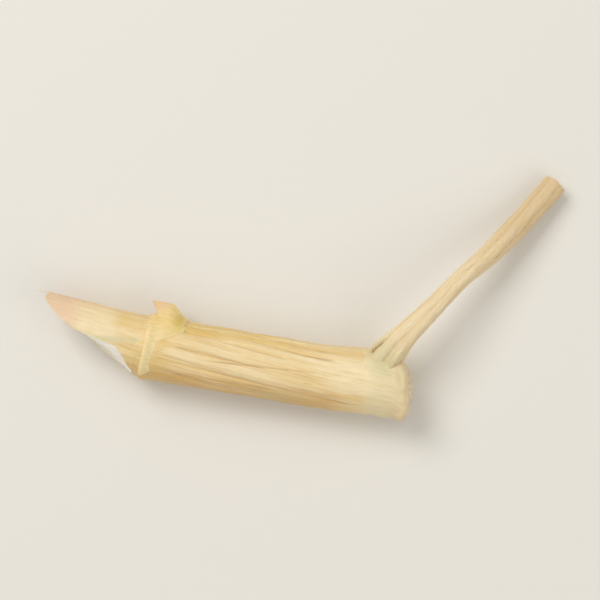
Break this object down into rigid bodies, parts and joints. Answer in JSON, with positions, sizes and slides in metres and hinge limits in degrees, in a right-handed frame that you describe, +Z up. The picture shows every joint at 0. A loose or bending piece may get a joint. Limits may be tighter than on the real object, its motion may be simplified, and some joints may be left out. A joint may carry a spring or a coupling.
{
  "type": "couch grass root",
  "caption": "Cut piece of dried couch grass rhizome with a torn scale leaf at one node and a rootlet at the other, lying on its side.",
  "frame": {"origin": "middle of the flat spot under the long internode that the piece rests on", "axes": "+X along the rhizome, from its slanting cut end towards the node with the rootlet; +Y towards the side that the rootlet grows to; +Z up"},
  "size_m": [0.0169, 0.0094, 0.0024],
  "materials": {
    "dried_rhizome": "dry, pale straw, furrowed, with a faint sheen",
    "dry_scale_leaf": "dry, papery, straw yellow",
    "dried_rootlet": "dry, dull, pale tan, grooved"
  },
  "bodies": {
    "root": {"rhizome": "dried_rhizome", "scale_leaf": "dry_scale_leaf", "rootlet": "dried_rootlet"}
  },
  "joints": []
}
